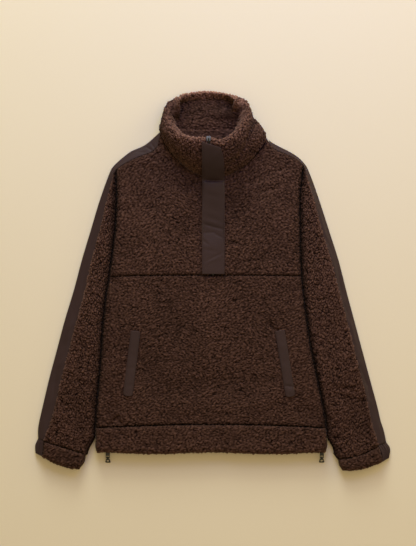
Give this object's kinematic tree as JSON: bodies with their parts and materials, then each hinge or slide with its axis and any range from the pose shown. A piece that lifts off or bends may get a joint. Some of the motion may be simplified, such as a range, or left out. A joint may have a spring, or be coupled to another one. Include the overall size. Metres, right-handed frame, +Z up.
{
  "type": "sherpa fleece pullover",
  "caption": "Pile fleece pullover laid flat, with a stand-up collar, half zip under a placket, welt pockets, nylon strips along the sleeves, elastic cuffs and side hem zips.",
  "frame": {"origin": "centre of the garment's box, on the surface that it lies on", "axes": "+Y from hem to collar along the longest side, +Z up from the floor, which is the shortest side, +X to the right of the front seen from above with the collar away"},
  "size_m": [0.765, 0.8168, 0.0751],
  "materials": {
    "sherpa": "curly pile",
    "nylon": "smooth weave",
    "zip_tape": "matte tape",
    "bright_metal": "satin",
    "dark_metal": "dark plated"
  },
  "bodies": {
    "garment": {"back_panel": "sherpa", "front_lower": "sherpa", "front_yoke_left": "sherpa", "front_yoke_right": "sherpa", "hem_band_front": "sherpa", "hem_band_back": "sherpa", "collar_outer": "sherpa", "collar_inner": "sherpa", "sleeve_front_left": "sherpa", "sleeve_back_left": "sherpa", "sleeve_front_right": "sherpa", "sleeve_back_right": "sherpa", "cuff_front_left": "sherpa", "cuff_back_left": "sherpa", "cuff_front_right": "sherpa", "cuff_back_right": "sherpa", "placket": "nylon", "pocket_welt_left": "nylon", "pocket_welt_right": "nylon", "shoulder_strip_left": "nylon", "shoulder_strip_right": "nylon", "sleeve_strip_left": "nylon", "sleeve_strip_right": "nylon", "cuff_gather_left": "nylon", "cuff_gather_right": "nylon", "neck_zip": "zip_tape", "neck_slider": "bright_metal", "hem_slider_left": "dark_metal", "hem_slider_right": "dark_metal"},
    "pull_left": {"hem_pull_left": "dark_metal"},
    "pull_right": {"hem_pull_right": "dark_metal"}
  },
  "joints": [
    {"name": "pull_left_hinge", "type": "hinge", "parent": "garment", "child": "pull_left", "pos_m": [-0.22606, -0.38106, 0.0085], "axis": [-1, 0, 0], "range_deg": [0, 120]},
    {"name": "pull_right_hinge", "type": "hinge", "parent": "garment", "child": "pull_right", "pos_m": [0.23504, -0.38083, 0.0085], "axis": [-1, 0, 0], "range_deg": [0, 120]}
  ]
}
